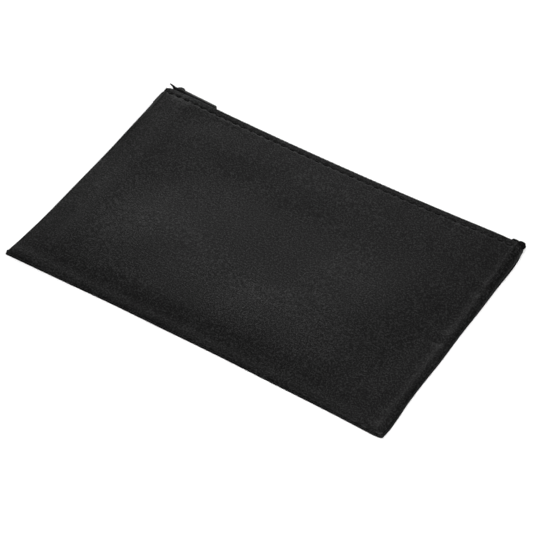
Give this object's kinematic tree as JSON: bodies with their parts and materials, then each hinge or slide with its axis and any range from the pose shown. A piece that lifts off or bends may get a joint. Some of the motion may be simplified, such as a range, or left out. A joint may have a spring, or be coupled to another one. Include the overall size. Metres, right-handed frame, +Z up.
{
  "type": "lipo safe bag",
  "caption": "Flat rectangular zip pouch in fire-resistant cloth for model batteries, with a coil zipper, slider and pull tab along one long edge.",
  "frame": {"origin": "centre of the flat underside that the pouch rests on, with 120 mm of cloth to each end and the bottom seam 75 mm behind it", "axes": "+X along the zipper towards its open end, +Y out of the zipped mouth, +Z up from the back panel to the front panel"},
  "size_m": [0.24, 0.1551, 0.009],
  "materials": {
    "outer_cloth": "matt black woven cloth",
    "lining_cloth": "coated glass-fibre cloth",
    "zip_tape": "black herringbone tape",
    "zip_coil": "black nylon monofilament",
    "thread": "black polyester thread",
    "slider_metal": "black lacquered zinc"
  },
  "bodies": {
    "pouch": {"back_panel": "outer_cloth", "back_lining": "lining_cloth", "back_zip_tape": "zip_tape", "back_coil": "zip_coil", "back_coil_cord": "thread", "back_coil_stitching": "thread", "back_topstitch": "thread", "left_seam_stitching": "thread", "right_seam_stitching": "thread", "bottom_seam_stitching": "thread", "left_zip_tack": "thread", "right_zip_tack": "thread"},
    "front_wall": {"front_panel": "outer_cloth", "front_lining": "lining_cloth", "front_zip_tape": "zip_tape", "front_coil": "zip_coil", "front_coil_cord": "thread", "front_coil_stitching": "thread", "front_topstitch": "thread"},
    "slider": {"slider_body": "slider_metal"},
    "pull_tab": {"pull_tab": "slider_metal"}
  },
  "joints": [
    {"name": "slider_travel", "type": "slide", "parent": "pouch", "child": "slider", "axis": [1, 0, 0], "range_m": [0, 0.212], "deforming": ["back_coil", "back_coil_cord", "front_coil", "front_coil_cord"]},
    {"name": "mouth_open", "type": "hinge", "parent": "pouch", "child": "front_wall", "pos_m": [0, -0.075, 0.0017], "axis": [1, 0, 0], "range_deg": [0, 8], "deforming": ["front_zip_tape", "front_coil_stitching"]},
    {"name": "pull_tab_swing", "type": "hinge", "parent": "slider", "child": "pull_tab", "pos_m": [-0.1102, 0.0775, 0.0041], "axis": [0, 0, 1], "range_deg": [0, 175]}
  ],
  "couplings": [
    {"joint": "mouth_open", "follows": "slider_travel", "rad_per_m": 0.6586}
  ]
}
